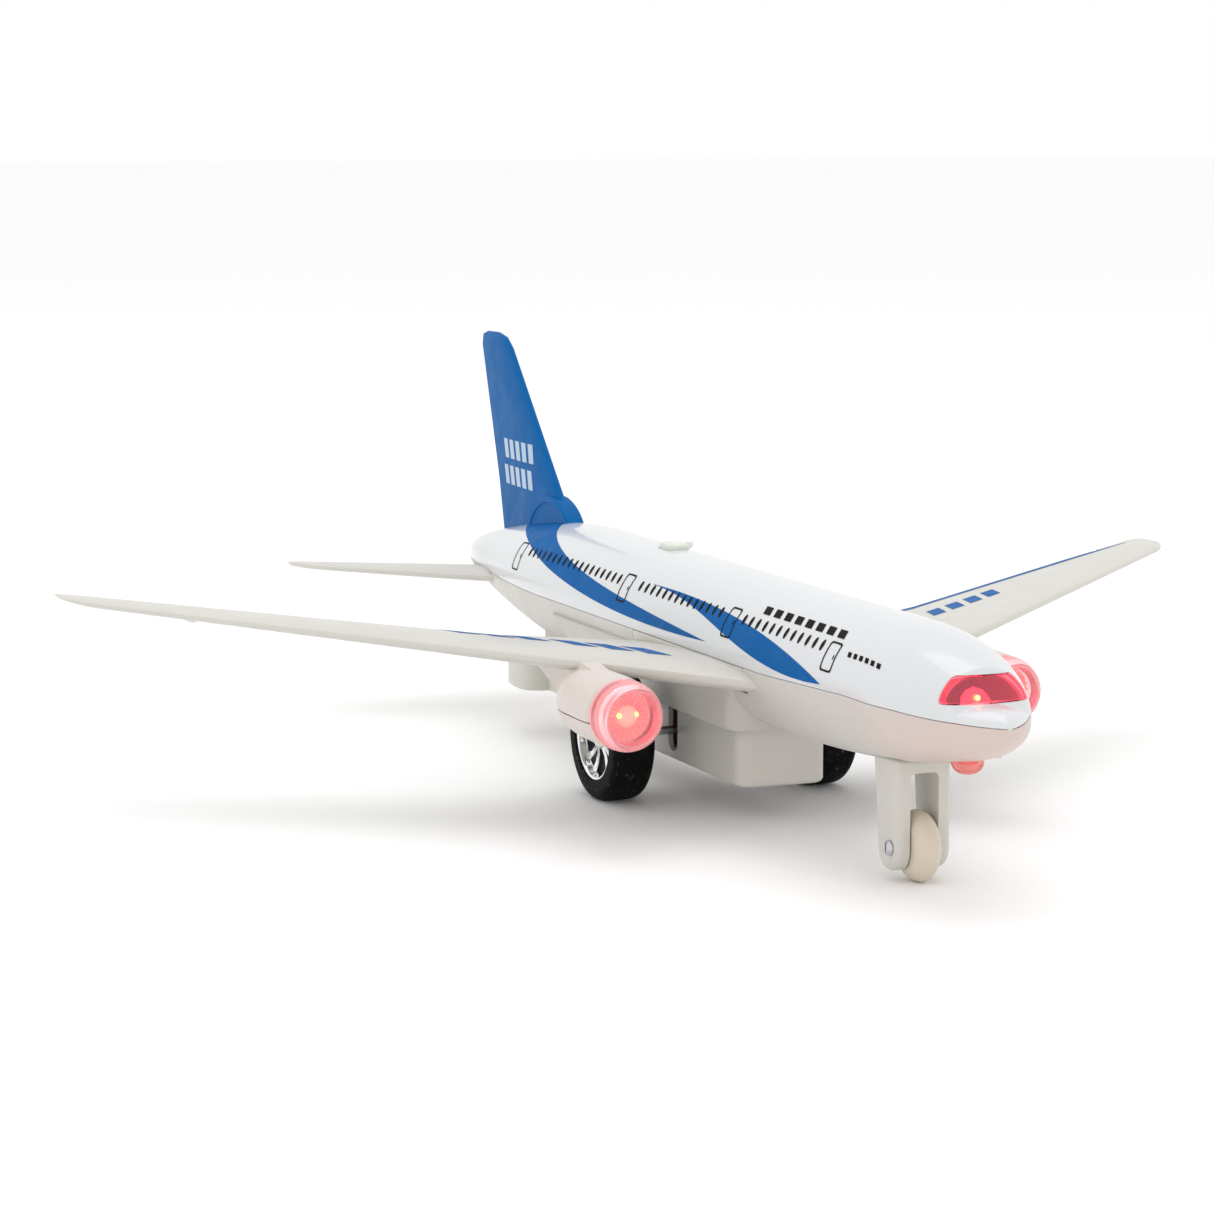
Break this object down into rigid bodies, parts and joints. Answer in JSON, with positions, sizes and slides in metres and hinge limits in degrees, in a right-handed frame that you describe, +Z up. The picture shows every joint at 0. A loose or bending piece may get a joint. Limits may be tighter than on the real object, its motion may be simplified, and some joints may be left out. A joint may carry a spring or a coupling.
{
  "type": "toy airplane",
  "caption": "Toy twin-engine airliner with swept wings, a blue fin, a friction drive on the main wheels, lit windows and intakes, and a press button on the roof.",
  "frame": {"origin": "on the floor, under the middle of the length and width", "axes": "+Z up, nose toward -Y, port (left) wing toward +X"},
  "size_m": [0.285, 0.299, 0.0982],
  "materials": {
    "upper_shell_white": "glossy cool white ABS with printed livery",
    "warm_white": "satin warm off-white ABS",
    "button_white": "satin off-white, slightly green",
    "clear_red_light": "clear polystyrene lit pink and red from inside",
    "red_dome": "clear red plastic dome",
    "led_clear": "clear epoxy LED",
    "fin_blue": "satin blue moulded plastic",
    "milky_white": "milky translucent white",
    "wire_black": "thin PVC insulation",
    "chrome_rim": "vacuum-plated bright chrome",
    "tyre_black": "black rubber with a fine tread",
    "amber_nylon": "amber nylon",
    "steel": "bright zinc-plated steel",
    "cell_steel": "polished stainless cell can",
    "cream": "cream moulded plastic",
    "black_plastic": "black moulded plastic",
    "contact_brass": "thin brass strip",
    "speaker_paper": "dark treated paper",
    "board_green": "green printed circuit board"
  },
  "bodies": {
    "airframe": {"fuselage_upper_shell": "upper_shell_white", "fuselage_lower_shell": "warm_white", "cockpit_window": "clear_red_light", "cockpit_led": "led_clear", "belly_dome": "red_dome", "belly_led": "led_clear", "tail_fin": "fin_blue", "wing_left": "warm_white", "wing_right": "warm_white", "stabiliser_left": "warm_white", "stabiliser_right": "warm_white", "nacelle_left_upper": "milky_white", "nacelle_left_lower": "milky_white", "nacelle_right_upper": "milky_white", "nacelle_right_lower": "milky_white", "engine_lens_left": "clear_red_light", "engine_lens_right": "clear_red_light", "engine_led_left": "led_clear", "engine_led_right": "led_clear", "engine_wire_left": "wire_black", "engine_wire_right": "wire_black", "gearbox_left": "amber_nylon", "gearbox_right": "amber_nylon", "gear_shaft_1": "steel", "gear_shaft_2": "steel", "nose_fork": "warm_white", "nose_pin": "steel", "belly_tub": "warm_white", "battery_cover": "warm_white", "battery_cover_screw": "steel", "tub_screw_front_left": "steel", "tub_screw_front_right": "steel", "tub_screw_rear": "steel", "shell_screw_front": "steel", "shell_screw_rear": "steel", "battery_tray": "black_plastic", "button_cell_1": "cell_steel", "button_cell_2": "cell_steel", "button_cell_3": "cell_steel", "battery_contact_negative": "contact_brass", "battery_bridge_lower": "contact_brass", "battery_bridge_upper": "contact_brass", "battery_contact_positive": "contact_brass", "speaker_frame": "steel", "speaker_cone": "speaker_paper", "circuit_board": "board_green"},
    "wheel_axle": {"main_axle": "steel", "axle_gear": "amber_nylon", "rim_left": "chrome_rim", "rim_right": "chrome_rim", "tyre_left": "tyre_black", "tyre_right": "tyre_black"},
    "drive_gear_1": {"compound_gear_1": "amber_nylon"},
    "drive_gear_2": {"compound_gear_2": "amber_nylon"},
    "flywheel": {"flywheel_shaft": "steel", "flywheel_left": "steel", "flywheel_right": "steel"},
    "nose_wheel": {"nose_wheel": "cream"},
    "roof_button": {"sound_button": "button_white", "switch_plunger": "black_plastic"}
  },
  "joints": [
    {"name": "main_wheels_spin", "type": "hinge", "parent": "airframe", "child": "wheel_axle", "pos_m": [0, -0.0075, 0.015], "axis": [1, 0, 0], "continuous": true},
    {"name": "drive_gear_1_spin", "type": "hinge", "parent": "airframe", "child": "drive_gear_1", "pos_m": [0, -0.00604, 0.02133], "axis": [1, 0, 0], "continuous": true},
    {"name": "drive_gear_2_spin", "type": "hinge", "parent": "airframe", "child": "drive_gear_2", "pos_m": [0, -0.00059, 0.02487], "axis": [1, 0, 0], "continuous": true},
    {"name": "flywheel_spin", "type": "hinge", "parent": "airframe", "child": "flywheel", "pos_m": [0, 0.00295, 0.03032], "axis": [1, 0, 0], "continuous": true},
    {"name": "nose_wheel_spin", "type": "hinge", "parent": "airframe", "child": "nose_wheel", "pos_m": [0, -0.111, 0.0075], "axis": [1, 0, 0], "continuous": true},
    {"name": "roof_button_press", "type": "slide", "parent": "airframe", "child": "roof_button", "axis": [0, 0, -1], "range_m": [0, 0.001], "stiffness_N_per_m": 400, "springref_m": -0.0005}
  ],
  "couplings": [
    {"joint": "drive_gear_1_spin", "follows": "main_wheels_spin", "ratio": -2.25},
    {"joint": "drive_gear_2_spin", "follows": "main_wheels_spin", "ratio": 5.0625},
    {"joint": "flywheel_spin", "follows": "main_wheels_spin", "ratio": -11.391}
  ]
}
